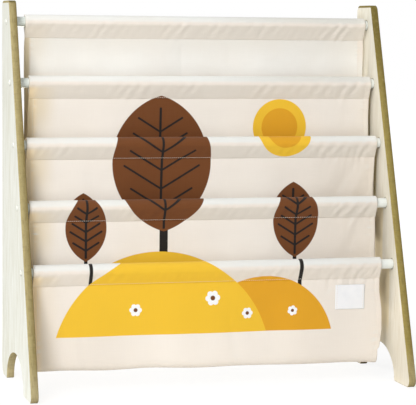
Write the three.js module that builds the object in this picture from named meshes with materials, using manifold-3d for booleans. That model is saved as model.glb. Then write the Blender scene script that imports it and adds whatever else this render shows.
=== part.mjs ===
// A child's sling bookshelf: two side panels with slanted front edges, five round rods bolted
// between them, and four cloth slings that hang from the rods as pockets for books.
// Millimetres, +Z up, +X to the viewer's right, the front towards -Y. The origin is on the floor,
// under the middle of the stand.
import * as THREE from "three";
import { mergeVertices } from "three/addons/utils/BufferGeometryUtils.js";
import Module from "manifold-3d";

const wasm = await Module();
wasm.setup();

// Side panels
const standWidth = 622;
const standHeight = 610;
const footDepth = 276;
const crownDepth = 65;
const panelThickness = 12;
const panelEdgeEase = 0.8;
const crownCornerRadius = 11;
const toeCornerRadius = 11;
const heelCornerRadius = 20;
const footInnerRadius = 4;
const frontFootDepth = 72;
const backFootDepth = 48;
const archHeight = 54;
const archTopFromFront = 143;

// Rods
const rodCount = 5;
const rodRadius = 8;
const topRodDrop = 33.4;
const lowRodHeight = 189.6;
const topRodSetback = 31.4;
const lowRodSetback = 25.5;
const rodEndEase = 0.8;
const rodBoreDepth = 20;
const rodRecessDepth = 4;
const rodRecessClearance = 0.4;

// Bolts and the threaded inserts in the rod ends
const boltShankRadius = 2.5;
const boltLength = 25;
const boltHeadRadius = 4.75;
const boltHeadHeight = 2.75;
const boltHeadRim = 0.7;
const boltTipChamfer = 0.6;
const socketAcrossFlats = 3;
const socketDepth = 1.6;
const insertLength = 13;
const insertRadius = 4;
const boltClearance = 0.3;

// Cloth slings
const bareRod = 12;
const clothThickness = 1.2;
const seamDrop = 24;
const underPocket = 27.6;
const bottomCurveHeight = 26;
const layerGap = 0.5;
const foldDepth = 1.6;
const foldPitch = 190;
const wideFoldPitch = 310;
const foldRise = 40;
const wideFoldShare = 0.45;
// How far each row of cloth has slid along its rod to the right, as shares of the bare rod at
// each end of a centred row, and where each row's folds start, as shares of one fold.
const rowSlideShares = [0.58, 0.58, 0.62, -0.25, -0.58];
const foldStartShares = [0.1, 0.46, 0.72, 0.28, 0.9];

// Blank woven label on the lowest panel
const labelWidth = 50;
const labelHeight = 40;
const labelThickness = 0.8;
const labelFromRightHem = 28;
const labelBelowSeam = 8;

// Gap between parts that touch, and how far a cutting tool reaches past what it cuts
const touchGap = 0.3;
const cutOverrun = 1;

// Counts of steps in round and folded shapes
const cornerSteps = 6;
const rodSides = 24;
const boltSides = 12;
const insertSides = 12;
const headSteps = 3;
const hexSides = 6;
const sleeveSteps = 8;
const pocketBottomSteps = 6;
const clothSteps = 19;
const labelSteps = 6;

// Places that follow from the sizes
const halfWidth = standWidth / 2;
const innerHalfWidth = halfWidth - panelThickness;
const toeAngle = Math.atan(standHeight / (footDepth - crownDepth));
const toeRoundedOff = toeCornerRadius / Math.tan(toeAngle / 2) - toeCornerRadius;
const frontY = -(footDepth + toeRoundedOff) / 2;
const backY = frontY + footDepth;
const frontEdgeY = (z) => frontY + (footDepth - crownDepth) * (z / standHeight);
const rodPitchDown = (standHeight - topRodDrop - lowRodHeight) / (rodCount - 1);
const rods = Array.from({ length: rodCount }, (_, i) => {
  const z = standHeight - topRodDrop - i * rodPitchDown;
  const setback = THREE.MathUtils.lerp(topRodSetback, lowRodSetback, i / (rodCount - 1));
  return { y: frontEdgeY(z) + setback, z };
});

const painted = new THREE.MeshStandardMaterial({ color: 0xeceade, roughness: 0.6, metalness: 0 });
const rodPaint = new THREE.MeshStandardMaterial({ color: 0xf0f2ee, roughness: 0.35, metalness: 0 });
const boltSteel = new THREE.MeshStandardMaterial({ color: 0xe4e4df, roughness: 0.4, metalness: 0.6 });
const insertZinc = new THREE.MeshStandardMaterial({ color: 0xb9b6ad, roughness: 0.45, metalness: 1 });
const canvas = new THREE.MeshStandardMaterial({ color: 0xf0e8de, roughness: 0.95, metalness: 0 });
const labelCloth = new THREE.MeshStandardMaterial({ color: 0xfafafa, roughness: 0.8, metalness: 0 });

// Turns geometry drawn in x and y, with its depth along z, so that x runs back and y runs up.
const uprightAcross = new THREE.Matrix4().makeBasis(
  new THREE.Vector3(0, 1, 0),
  new THREE.Vector3(0, 0, 1),
  new THREE.Vector3(1, 0, 0),
);

// A closed geometry as a solid, and a solid as a geometry.
function solidOf(geometry) {
  const bare = geometry.index ? geometry.toNonIndexed() : geometry.clone();
  bare.deleteAttribute("normal");
  bare.deleteAttribute("uv");
  const merged = mergeVertices(bare);
  return new wasm.Manifold(
    new wasm.Mesh({
      numProp: 3,
      vertProperties: new Float32Array(merged.attributes.position.array),
      triVerts: new Uint32Array(merged.index.array),
    }),
  );
}

function geometryOf(solid) {
  const mesh = solid.getMesh();
  const geometry = new THREE.BufferGeometry();
  geometry.setAttribute("position", new THREE.BufferAttribute(mesh.vertProperties, mesh.numProp));
  geometry.setIndex(new THREE.BufferAttribute(mesh.triVerts, 1));
  const faceted = geometry.toNonIndexed();
  faceted.computeVertexNormals();
  return faceted;
}

function namedMesh(name, geometry, material) {
  const mesh = new THREE.Mesh(geometry, material);
  mesh.name = name;
  return mesh;
}

// A round shape turned about the x axis, from points of [distance along x, radius].
function turnedAlongX(profile, sides) {
  const points = profile.map(([along, radius]) => new THREE.Vector2(radius, along));
  return new THREE.LatheGeometry(points, sides).rotateZ(-Math.PI / 2);
}

// Adds a corner of the given radius to a shape, between the points before and after it.
function roundedCorner(shape, before, corner, after, radius) {
  const toBefore = before.clone().sub(corner).normalize();
  const toAfter = after.clone().sub(corner).normalize();
  const halfAngle = Math.acos(toBefore.dot(toAfter)) / 2;
  const middle = toBefore.clone().add(toAfter).normalize();
  const centre = corner.clone().addScaledVector(middle, radius / Math.sin(halfAngle));
  const reach = radius / Math.tan(halfAngle);
  const start = corner.clone().addScaledVector(toBefore, reach);
  const end = corner.clone().addScaledVector(toAfter, reach);
  shape.lineTo(start.x, start.y);
  const startAngle = Math.atan2(start.y - centre.y, start.x - centre.x);
  const endAngle = Math.atan2(end.y - centre.y, end.x - centre.x);
  shape.absarc(centre.x, centre.y, radius, startAngle, endAngle, false);
}

// Side panel outline, anticlockwise from the front foot's inner corner, as seen from the right:
// an arch between the feet, an upright back edge and a slanted front edge.
function panelOutline() {
  const toe = new THREE.Vector2(frontY, 0);
  const heel = new THREE.Vector2(backY, 0);
  const crownBack = new THREE.Vector2(backY, standHeight);
  const crownFront = new THREE.Vector2(backY - crownDepth, standHeight);
  const archFrontY = frontY + frontFootDepth;
  const archBackY = backY - backFootDepth;
  const archTopY = frontY + archTopFromFront;
  const archRise = archHeight - footInnerRadius;
  const shape = new THREE.Shape();
  shape.moveTo(archBackY + footInnerRadius, 0);
  roundedCorner(shape, toe, heel, crownBack, heelCornerRadius);
  roundedCorner(shape, heel, crownBack, crownFront, crownCornerRadius);
  roundedCorner(shape, crownBack, crownFront, toe, crownCornerRadius);
  roundedCorner(shape, crownFront, toe, heel, toeCornerRadius);
  shape.lineTo(archFrontY - footInnerRadius, 0);
  shape.absarc(archFrontY - footInnerRadius, footInnerRadius, footInnerRadius, -Math.PI / 2, 0, false);
  shape.absellipse(
    archTopY, footInnerRadius, archTopY - archFrontY, archRise, Math.PI, Math.PI / 2, true,
  );
  shape.absellipse(archTopY, footInnerRadius, archBackY - archTopY, archRise, Math.PI / 2, 0, true);
  shape.absarc(
    archBackY + footInnerRadius, footInnerRadius, footInnerRadius, Math.PI, Math.PI * 1.5, false,
  );
  return shape;
}

// One side panel with a blind recess for each rod end in its inner face and a bolt hole through
// the middle of each recess. The side is -1 for the left panel and 1 for the right one.
function sidePanel(side) {
  const blank = new THREE.ExtrudeGeometry(panelOutline(), {
    depth: panelThickness - 2 * panelEdgeEase,
    bevelThickness: panelEdgeEase,
    bevelSize: panelEdgeEase,
    bevelOffset: -panelEdgeEase,
    bevelSegments: 1,
    curveSegments: cornerSteps,
  });
  blank.applyMatrix4(uprightAcross);
  blank.translate(panelEdgeEase - panelThickness / 2 + side * (halfWidth - panelThickness / 2), 0, 0);
  const outerX = halfWidth + cutOverrun;
  const floorX = innerHalfWidth + rodRecessDepth;
  const innerX = innerHalfWidth - cutOverrun;
  const holeRadius = boltShankRadius + boltClearance;
  const recessRadius = (rodRadius + rodRecessClearance) / Math.cos(Math.PI / rodSides);
  const tool = turnedAlongX(
    [[innerX, 0], [innerX, recessRadius], [floorX, recessRadius], [floorX, holeRadius],
      [outerX, holeRadius], [outerX, 0]],
    rodSides,
  );
  if (side < 0) tool.rotateZ(Math.PI);
  let solid = solidOf(blank);
  for (const rod of rods) {
    solid = solid.subtract(solidOf(tool.clone().translate(0, rod.y, rod.z)));
  }
  return geometryOf(solid);
}

// A round rod with eased ends and a blind bore in each end for its insert.
function rodGeometry() {
  const end = innerHalfWidth + rodRecessDepth - touchGap;
  const bore = insertRadius + touchGap;
  const boreFloor = end - rodBoreDepth;
  const half = [[boreFloor, 0], [boreFloor, bore], [end, bore], [end, rodRadius - rodEndEase],
    [end - rodEndEase, rodRadius]];
  const mirrored = half.map(([along, radius]) => [-along, radius]).reverse();
  return turnedAlongX([...half, ...mirrored].reverse(), rodSides);
}

// A threaded insert for the right end of a rod, flush with the rod's end face.
function insertGeometry() {
  const end = innerHalfWidth + rodRecessDepth - touchGap;
  const start = end - insertLength;
  const hole = boltShankRadius + boltClearance;
  return turnedAlongX(
    [[start, hole], [start, insertRadius], [end, insertRadius], [end, hole], [start, hole]],
    insertSides,
  );
}

// A domed bolt for the right panel, its head on the outer face, with a hexagonal socket.
function boltGeometry() {
  const seat = halfWidth + touchGap;
  const tip = seat - boltLength;
  const dome = Array.from({ length: headSteps + 1 }, (_, i) => {
    const angle = ((Math.PI / 2) * i) / headSteps;
    return [
      seat + boltHeadRim + (boltHeadHeight - boltHeadRim) * Math.sin(angle),
      boltHeadRadius * Math.cos(angle) * (i < headSteps ? 1 : 0),
    ];
  });
  const body = turnedAlongX(
    [[tip, 0], [tip, boltShankRadius - boltTipChamfer], [tip + boltTipChamfer, boltShankRadius],
      [seat, boltShankRadius], [seat, boltHeadRadius], ...dome],
    boltSides,
  );
  const crest = seat + boltHeadHeight;
  const socketRadius = socketAcrossFlats / 2 / Math.cos(Math.PI / hexSides);
  const socket = turnedAlongX(
    [[crest - socketDepth, 0], [crest - socketDepth, socketRadius],
      [crest + cutOverrun, socketRadius], [crest + cutOverrun, 0]],
    hexSides,
  );
  return geometryOf(solidOf(body).subtract(solidOf(socket)));
}

// Cloth places: how far right a row has slid, how far its folds push it back at a place across
// and a drop below its seam, and the height of a row's seam and of a pocket's bottom.
const clothWidth = 2 * (innerHalfWidth - bareRod);
const pocketDrop = lowRodHeight - underPocket;
const rowSlide = (row) => rowSlideShares[row % rowSlideShares.length] * bareRod;
const seamZ = (row) => rods[row].z - seamDrop;
const pocketBottomZ = (frontRow) => rods[frontRow].z - pocketDrop;

function foldPush(row, x, drop) {
  const turn = 2 * Math.PI;
  const start = foldStartShares[row % foldStartShares.length] * turn;
  const narrow = Math.sin((turn * x) / foldPitch + start);
  const wide = Math.sin((turn * x) / wideFoldPitch + 2 * start);
  const rise = THREE.MathUtils.clamp(drop / foldRise, 0, 1);
  return foldDepth * rise * ((1 - wideFoldShare) * narrow + wideFoldShare * wide);
}

// The outer and inner outlines of a sleeve round a rod, from its seam's back to its front, as
// [y, z] from the rod's centre. Straight sides run from the seam to the round part.
const sleeveHole = (rodRadius + touchGap) / Math.cos(Math.PI / sleeveSteps);
const sleeveRadius = sleeveHole + clothThickness;
const sleeveTaper = Math.asin(sleeveRadius / seamDrop);

function sleeveArc(radius) {
  return Array.from({ length: sleeveSteps + 1 }, (_, i) => {
    const angle = -sleeveTaper + ((Math.PI + 2 * sleeveTaper) * i) / sleeveSteps;
    return [radius * Math.cos(angle), radius * Math.sin(angle)];
  });
}

const sleeveOutside = sleeveArc(sleeveRadius);
const sleeveInside = [
  ...sleeveArc(sleeveHole),
  [0, clothThickness / Math.sin(sleeveTaper) - seamDrop],
];
const seamShoulder = clothThickness / 2 / Math.tan(sleeveTaper);

// The middle line of one sling at a share of its width: down from the back rod's seam, round the
// pocket's bottom and up to the front rod. Each point has the direction into the pocket.
function slingPath(backRow, widthShare, frontOffset, topDrop) {
  const frontRow = backRow + 1;
  const bottom = pocketBottomZ(frontRow);
  const curveZ = bottom + bottomCurveHeight;
  const curveDepth = bottomCurveHeight - clothThickness / 2;
  const across = (widthShare - 0.5) * clothWidth;
  const backLength = seamZ(backRow) - curveZ;
  const frontLength = rods[frontRow].z - topDrop - curveZ;
  const curveLength = Math.PI * curveDepth;
  const length = backLength + curveLength + frontLength;
  const xAt = (run) =>
    across + THREE.MathUtils.lerp(rowSlide(backRow), rowSlide(frontRow), run / length);
  const backPoint = (drop) => {
    const x = xAt(drop);
    const y = rods[backRow].y + foldPush(backRow, x, drop);
    return { x, y, z: seamZ(backRow) - drop, inY: -1, inZ: 0 };
  };
  const frontPoint = (z) => {
    const x = xAt(length - (rods[frontRow].z - topDrop - z));
    const y = rods[frontRow].y + frontOffset + foldPush(frontRow, x, seamZ(frontRow) - z);
    return { x, y, z, inY: 1, inZ: 0 };
  };
  const curve = Array.from({ length: pocketBottomSteps + 1 }, (_, i) => {
    const angle = (Math.PI * i) / pocketBottomSteps;
    const x = xAt(backLength + (curveLength * i) / pocketBottomSteps);
    const yBack = rods[backRow].y + foldPush(backRow, x, backLength);
    const yFront =
      rods[frontRow].y + frontOffset + foldPush(frontRow, x, seamZ(frontRow) - curveZ);
    const halfGap = (yBack - yFront) / 2;
    const inward = new THREE.Vector2(
      -curveDepth * Math.cos(angle), halfGap * Math.sin(angle)).normalize();
    return {
      x,
      y: (yBack + yFront) / 2 + halfGap * Math.cos(angle),
      z: curveZ - curveDepth * Math.sin(angle),
      inY: inward.x,
      inZ: inward.y,
    };
  });
  return {
    top: backPoint(0),
    down: [backPoint(foldRise)],
    curve,
    up: [frontPoint(seamZ(frontRow) - foldRise)],
    end: frontPoint(rods[frontRow].z - topDrop),
  };
}

const offsetPoint = (point, distance) =>
  [point.x, point.y + point.inY * distance, point.z + point.inZ * distance];
const placed = (row, x, [y, z]) => [x, rods[row].y + y, rods[row].z + z];

// The section of a sling at a share of its width: one outer outline, anticlockwise as seen from
// the right, and a hole for each sleeve.
function slingSection(backRow, widthShare, hasFrontSleeve) {
  const half = clothThickness / 2;
  const frontOffset = hasFrontSleeve ? 0 : clothThickness + layerGap;
  const topDrop = hasFrontSleeve ? seamDrop : seamDrop + layerGap;
  const path = slingPath(backRow, widthShare, frontOffset, topDrop);
  const frontRow = backRow + 1;
  const { top, down, curve, up, end } = path;
  const panel = [...down, ...curve, ...up];
  const into = panel.map((point) => offsetPoint(point, half));
  const away = panel.map((point) => offsetPoint(point, -half));
  const backSleeve = sleeveOutside.map((point) => placed(backRow, top.x, point));
  const shoulderAt = (row, x, y) => placed(row, x, [y, seamShoulder - seamDrop]);
  const outline = [
    ...away.reverse(),
    shoulderAt(backRow, top.x, half),
    ...backSleeve,
    shoulderAt(backRow, top.x, -half),
    ...into,
  ];
  const holes = [sleeveInside.map((point) => placed(backRow, top.x, point)).reverse()];
  if (hasFrontSleeve) {
    outline.push(shoulderAt(frontRow, end.x, half));
    outline.push(...sleeveOutside.map((point) => placed(frontRow, end.x, point)));
    outline.push(shoulderAt(frontRow, end.x, -half));
    holes.push(sleeveInside.map((point) => placed(frontRow, end.x, point)).reverse());
  } else {
    outline.push(offsetPoint(end, half), offsetPoint(end, -half));
  }
  return { outline, holes };
}

// A closed geometry through sections that follow each other to the right, all with as many
// points. Each side face is split from its lower left to its upper right corner, so that layers
// of cloth that lie together crease alike.
function loft(sections) {
  const loops = (section) => [section.outline, ...section.holes];
  const perSection = loops(sections[0]).flat().length;
  const positions = sections.flatMap((section) => loops(section).flat(2));
  const index = [];
  for (let s = 0; s < sections.length - 1; s++) {
    let first = s * perSection;
    for (const loop of loops(sections[s])) {
      for (let i = 0; i < loop.length; i++) {
        const next = (i + 1) % loop.length;
        const a = first + i;
        const b = first + next;
        const rising = loop[next][2] > loop[i][2];
        if (rising) index.push(a, b, b + perSection, a, b + perSection, a + perSection);
        else index.push(a, b, a + perSection, b, b + perSection, a + perSection);
      }
      first += loop.length;
    }
  }
  const flat = (loop) => loop.map(([, y, z]) => new THREE.Vector2(y, z));
  const capOf = (section) =>
    THREE.ShapeUtils.triangulateShape(flat(section.outline), section.holes.map(flat));
  const lastStart = (sections.length - 1) * perSection;
  for (const [a, b, c] of capOf(sections[0])) index.push(a, c, b);
  for (const [a, b, c] of capOf(sections[sections.length - 1])) {
    index.push(lastStart + a, lastStart + b, lastStart + c);
  }
  const geometry = new THREE.BufferGeometry();
  geometry.setAttribute("position", new THREE.Float32BufferAttribute(positions, 3));
  geometry.setIndex(index);
  geometry.computeVertexNormals();
  return geometry;
}

function slingGeometry(backRow) {
  const hasFrontSleeve = backRow === rodCount - 2;
  return loft(
    Array.from({ length: clothSteps + 1 }, (_, i) =>
      slingSection(backRow, i / clothSteps, hasFrontSleeve)),
  );
}

// The label lies on the lowest panel and follows its folds.
function labelGeometry() {
  const row = rodCount - 1;
  const right = rowSlide(row) + clothWidth / 2 - labelFromRightHem;
  const topZ = seamZ(row) - labelBelowSeam;
  const heights = [topZ, Math.min(topZ, seamZ(row) - foldRise), topZ - labelHeight];
  return loft(
    Array.from({ length: labelSteps + 1 }, (_, i) => {
      const x = right - labelWidth + (labelWidth * i) / labelSteps;
      const face = (z, lift) => {
        const cloth = rods[row].y + foldPush(row, x, seamZ(row) - z) - clothThickness / 2;
        return [x, cloth - touchGap - lift, z];
      };
      const front = heights.map((z) => face(z, labelThickness));
      const back = heights.map((z) => face(z, 0)).reverse();
      return { outline: [...front, ...back], holes: [] };
    }),
  );
}

const bookshelf = new THREE.Group();
bookshelf.name = "sling_bookshelf";

bookshelf.add(namedMesh("left_side_panel", sidePanel(-1), painted));
bookshelf.add(namedMesh("right_side_panel", sidePanel(1), painted));

const rodShape = rodGeometry();
const insertShape = insertGeometry();
const boltShape = boltGeometry();
rods.forEach((rod, i) => {
  const atRod = new THREE.Group();
  atRod.position.set(0, rod.y, rod.z);
  atRod.add(namedMesh(`rod_${i + 1}`, rodShape, rodPaint));
  for (const side of ["left", "right"]) {
    const end = new THREE.Group();
    if (side === "left") end.rotation.z = Math.PI;
    end.add(namedMesh(`insert_${side}_${i + 1}`, insertShape, insertZinc));
    end.add(namedMesh(`bolt_${side}_${i + 1}`, boltShape, boltSteel));
    atRod.add(end);
  }
  bookshelf.add(atRod);
});

for (let row = 0; row < rodCount - 1; row++) {
  bookshelf.add(namedMesh(`sling_${row + 1}`, slingGeometry(row), canvas));
}
bookshelf.add(namedMesh("woven_label", labelGeometry(), labelCloth));

export default bookshelf;
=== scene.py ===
import math

import bpy
import numpy as np
from mathutils import Matrix, Vector


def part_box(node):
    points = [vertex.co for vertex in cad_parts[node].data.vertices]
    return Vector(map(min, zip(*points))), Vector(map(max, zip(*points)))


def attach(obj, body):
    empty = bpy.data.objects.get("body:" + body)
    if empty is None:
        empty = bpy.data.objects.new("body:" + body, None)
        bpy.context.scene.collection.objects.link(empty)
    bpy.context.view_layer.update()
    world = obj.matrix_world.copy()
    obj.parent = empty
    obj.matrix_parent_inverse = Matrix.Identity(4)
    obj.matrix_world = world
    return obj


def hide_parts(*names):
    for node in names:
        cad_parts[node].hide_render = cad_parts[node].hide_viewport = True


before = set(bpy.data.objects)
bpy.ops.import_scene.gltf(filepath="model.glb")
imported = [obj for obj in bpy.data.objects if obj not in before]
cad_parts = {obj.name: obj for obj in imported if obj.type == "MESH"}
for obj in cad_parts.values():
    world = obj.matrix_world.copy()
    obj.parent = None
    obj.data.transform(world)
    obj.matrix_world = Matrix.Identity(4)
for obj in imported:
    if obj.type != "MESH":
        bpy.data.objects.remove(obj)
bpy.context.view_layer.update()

# Shapes are in millimetres until their mesh is made. Materials measure in metres.
MM = 0.001
PER_METRE = 1000

# The camera, fitted to the panels' corners in the photograph. It turns by yaw, pitch and roll.
CAMERA_PLACE = (-0.79775, -2.88211, 0.56216)
CAMERA_TURN = (0.27022, 0.0908, 0.00996)
FOCAL_PIXELS = 1866.32
IMAGE_WIDTH = 416
SENSOR_WIDTH = 36
CAMERA_REACH = 100

# Cloth, as in the CAD source
ROW_COUNT = 5
LAST_ROW = ROW_COUNT - 1
BARE_ROD = 12
CAD_SEAM_DROP = 24
POCKET_DROP = 162
BOTTOM_CURVE = 26
FOLD_DEPTH = 1.6
FOLD_PITCH = 190
WIDE_FOLD_PITCH = 310
FOLD_RISE = 40
WIDE_FOLD_SHARE = 0.45
FOLD_STARTS = (0.1, 0.46, 0.72, 0.28, 0.9)
LABEL_SIZE = (50, 40)
LABEL_LEFT = 202
LABEL_DROP = 32

# Cloth, as sewn. The left and right edges are those of the sleeve on each rod, top rod first.
# EXTRA is what a hem adds to half the cloth's thickness.
CLOTH = 1.0
LEFT_EDGES = (-282, -281.7, -292, -293.5, -293.5)
RIGHT_EDGES = (293.6, 292.6, 292, 281.5, 277.5)
HEM_WIDTH = 10
HEM_BLEND = 0.8
HEM_STITCHES = HEM_WIDTH - 1.5
HEM_EXTRA = 0.6
SLEEVE_HEM_EXTRA = 0.3
TURNED_WIDTH = 8
REAR_STEP = 1.7
REAR_HEIGHTS = (1.5, 3.0, 4.5)
REAR_GAP = 1.35
REAR_WIDENING = 0.35
REAR_RISE = 1.0
FIRST_DROP = 1.2
LAST_POCKET_POWER = 0.6
POCKET_ASPECT = 0.7
CURVE_SAMPLES = 721
BOTTOM_LIFTS = (4.2, -0.8)

# Layers of cloth that light has to pass, where the top back panel has 0: in the other back
# panels, in front panels, and added to those by hems
BACK_LAYERS = 0.8
FRONT_LAYERS = 0.9
HEM_LAYERS = 0.1

# How far down its back panel a sling is printed, and how far over the back of a sleeve: a
# share of its radius behind the rod, or this many points past its top
PRINT_RUN = 128
PRINT_BEHIND = 0.55
PRINT_POINTS = 6

# How far the lowest panel's right edge stands out at drops below the stitches
EDGE_DROPS = (0, 25, 56, 90, 108, 124, 140)
EDGE_SHIFTS = (0, 0.2, 4.3, 4.9, 2.2, -0.6, -2.6)
EDGE_REACH = 90

# A sleeve's section. Its lip hangs under the stitches, and OUT and IN are half the cloth's
# thickness on either side of its middle line.
STITCH_DROP = 18
STITCH_INSET = 1.7
STITCH_GROOVE = 0.15
LIPS = (7.4, 6.8, 5.4, 4.8, 4.2)
LIP_SHARES = (0, 0.08, 0.25, 0.55)
LIP_HALF = 0.45
LIP_EDGE = 0.02
LIP_IN = 0.65
LIP_FRONT = 1.0
HOLLOWS = (0.9, 0.4, 0.3, 0.3, 0.3)
SLEEVE_RADIUS = 10.4
SLEEVE_OUT = 1.2
SLEEVE_IN = 1.6
OUT_RISE = 10
IN_RISE = 6
CREASE_HALF = 0.9
CREASE_IN = 0.65
CREASE_OUT_RISE = 1.5
CREASE_IN_RISE = 5
BACK_SEAM = (0.3, -STITCH_DROP)
BACK_BULGE = 0.35
BACK_STEPS = 8
ROUND_STEPS = 24

# Distances between the cloth's points: on a sleeve's front, in the hems and elsewhere
FRONT_STEP = 1.3
FINE_STEP = 1.3
STEP = 3.0

# Fields of waves over the cloth: the first row's seed, the shortest and the longest wave
WRINKLES = (40, 11, 24)
GATHERS = (60, 9, 16)
SOFT_FOLDS = (100, 55, 130)
BROAD_FOLDS = (160, 160, 320)
EDGE_CURLS = (220, 60, 140)
CLUSTERS = (300, 70, 190)
BOTTOM_WAVES = (400, 120, 260)
HEM_PUCKERS = (500, 9, 17)
SLEEVE_BACKS = (700, 24, 70)

# How far each relief moves the cloth, and over which drops below the stitches it grows
SOFT_DEPTH = 0.5
BROAD_DEPTH = 0.55
FOLDS_GROW = (4, 45)
CURL_DEPTH = 0.9
CURL_REACH = 22
CURLS_GROW = (5, 40)
TURNED_SLOPE = 0.55
TURNED_GROWS = (0, 24)
BOTTOM_WAVE_DEPTH = 0.8
SLEEVE_BACK_DEPTH = 0.35
SLEEVE_BACK_GROWS = (1, 12)
SEAM_REACH = 6

# The hems' rim, the groove at their stitches, the puckers there, and their share on sleeves
RIM_DEPTH = 0.3
GROOVE_DEPTH = 0.5
GROOVE_WIDTH = 1.3
PUCKER_DEPTH = 0.26
PUCKER_WIDTH = 5
SLEEVE_HEM_SHARE = 0.4

# What the seams pull into the cloth. Pulls and gathers have a value for each row.
SEAM_PULLS = (0.4, 0.4, 0.55, 0.65, 0.7)
EVEN_PULL = 0.36
LEFT_PULL = 0.15
LEFT_REACH = 60
RIGHT_REACH = 85
CLUSTER_SHARE = 0.4
WRINKLE_LIMIT = 1.2
WRINKLES_ABOVE = (27, 8)
WRINKLES_BELOW = 10
SEAM_HOLD = 0.7
SEAM_WIDTH = 2.2
GATHER_DEPTHS = (0.14, 0.2, 0.4, 0.42, 0.62)
GATHERS_INSET = 48
GATHERS_REACH = 55
GATHERS_ABOVE = (16, 2)
GATHERS_BELOW = 14

# Creases pressed or pulled into a row's panel: row, place across, drop where each starts and
# ends, lean, width and depth. A negative depth stands proud. Each shows a little beyond its
# ends and fades there over shares of its length.
CREASE_BEYOND = (3, 6)
CREASE_FADES = (0.25, 0.3)
CREASES = (
    (0, -23, 8, 96, 0.02, 4, 0.4),
    (0, 60, 10, 96, -0.03, 5, 0.35),
    (1, -110, 8, 110, 0.05, 6, 0.4),
    (4, 200, 2, 26, -0.5, 4, 0.9),
    (4, 216, 2, 30, -0.4, 4, -0.8),
    (4, 232, 2, 24, -0.5, 4, 0.8),
    (4, 250, 2, 28, -0.3, 4, -0.7),
    (4, -252, 60, 150, 0.1, 7, 1.0),
    (4, -228, 70, 150, 0.12, 8, -0.9),
    (4, 20, 30, 150, 0.15, 9, 0.6),
    (3, 120, 6, 90, -0.12, 8, 0.5),
    (2, -190, 10, 100, 0.1, 8, 0.45),
    (2, 262, 6, 74, -0.62, 9, 1.1),
    (2, 282, 14, 90, -0.55, 8, -0.9),
    (2, 232, 4, 60, -0.5, 10, -0.7),
    (1, 268, 6, 60, -0.4, 9, 0.5),
    (3, 262, 4, 70, -0.5, 10, 0.7),
    (3, 240, 6, 80, -0.45, 12, -0.6),
)

# Sewing thread
STITCH_PITCH = 3.2
STITCH_LENGTH = 2.5
STITCH_START = 0.12
STITCH_RADIUS = 0.3
STITCH_ARCH = 0.5
STITCH_SUNK = 0.15
STITCH_SHARES = np.array([0, 0.2, 0.5, 0.8, 1])
STITCH_SIDES = 6

# The label, and how far it stands off the cloth
LABEL_GRID = (37, 30)
LABEL_THICKNESS = 0.5
LABEL_GAP = 0.75
LABEL_BULGE = 0.45
LABEL_TOP_GAP = 0.5
LABEL_TOP_REACH = 12
LABEL_SMOOTHING = (-9, -6, -3, 0, 3, 6, 9)
LABEL_STITCH_COLUMNS = (2, -3)


def rod_middle(row):
    """The y and z of a rod's middle line, in millimetres."""
    low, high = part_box(f"rod_{row + 1}")
    return (low.y + high.y) / 2 / MM, (low.z + high.z) / 2 / MM


RODS = [rod_middle(row) for row in range(ROW_COUNT)]
ROD_PITCH = RODS[0][1] - RODS[1][1]
CLOTH_WIDTH = 2 * (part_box("right_side_panel")[0].x / MM - BARE_ROD)


def add_object(name, data):
    made = bpy.data.objects.new(name, data)
    bpy.context.scene.collection.objects.link(made)
    return made


# Camera

def make_camera():
    yaw, pitch, roll = CAMERA_TURN
    forward = Vector((math.sin(yaw) * math.cos(pitch), math.cos(yaw) * math.cos(pitch),
                      -math.sin(pitch)))
    level_right = Vector((math.cos(yaw), -math.sin(yaw), 0))
    level_up = level_right.cross(forward)
    right = math.cos(roll) * level_right + math.sin(roll) * level_up
    up = math.cos(roll) * level_up - math.sin(roll) * level_right
    data = bpy.data.cameras.new("camera")
    data.sensor_width = SENSOR_WIDTH
    data.lens = FOCAL_PIXELS * SENSOR_WIDTH / IMAGE_WIDTH
    data.clip_end = CAMERA_REACH
    camera = add_object("camera", data)
    axes = Matrix((right, up, -forward)).transposed().to_4x4()
    camera.matrix_world = Matrix.Translation(CAMERA_PLACE) @ axes
    bpy.context.scene.camera = camera


make_camera()


# Node helpers

class Number:
    """A number that varies over a surface. Sums and products of it become math nodes."""

    def __init__(self, tree, value):
        self.tree = tree
        self.value = value

    def plug(self, socket):
        if isinstance(self.value, bpy.types.NodeSocket):
            self.tree.links.new(self.value, socket)
        else:
            socket.default_value = self.value

    def apply(self, operation, *others):
        node = self.tree.nodes.new("ShaderNodeMath")
        node.operation = operation
        for socket, item in zip(node.inputs, (self, *others)):
            item = item if isinstance(item, Number) else Number(self.tree, item)
            item.plug(socket)
        return Number(self.tree, node.outputs[0])

    def __add__(self, other):
        return self.apply("ADD", other)

    def __sub__(self, other):
        return self.apply("SUBTRACT", other)

    def __rsub__(self, other):
        return Number(self.tree, other).apply("SUBTRACT", self)

    def __mul__(self, other):
        return self.apply("MULTIPLY", other)

    def __truediv__(self, other):
        return self.apply("DIVIDE", other)

    __radd__ = __add__
    __rmul__ = __mul__

    def sine(self):
        return self.apply("SINE")

    def size(self):
        return self.apply("ABSOLUTE")

    def least(self, other):
        return self.apply("MINIMUM", other)

    def most(self, other):
        return self.apply("MAXIMUM", other)

    def between(self, low, high):
        return self.most(low).least(high)

    def ramp(self, start, end):
        """0 at start, 1 at end and a soft run between them."""
        node = self.tree.nodes.new("ShaderNodeMapRange")
        node.interpolation_type = "SMOOTHSTEP"
        self.plug(node.inputs["Value"])
        node.inputs["From Min"].default_value = start
        node.inputs["From Max"].default_value = end
        return Number(self.tree, node.outputs["Result"])


def length_of(x, y):
    return (x * x + y * y).apply("SQRT")


def srgb(*values):
    """A colour for a shader, from the 0 to 255 values that a screen shows."""
    return (*[((value / 255 + 0.055) / 1.055) ** 2.4 for value in values], 1)


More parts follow.
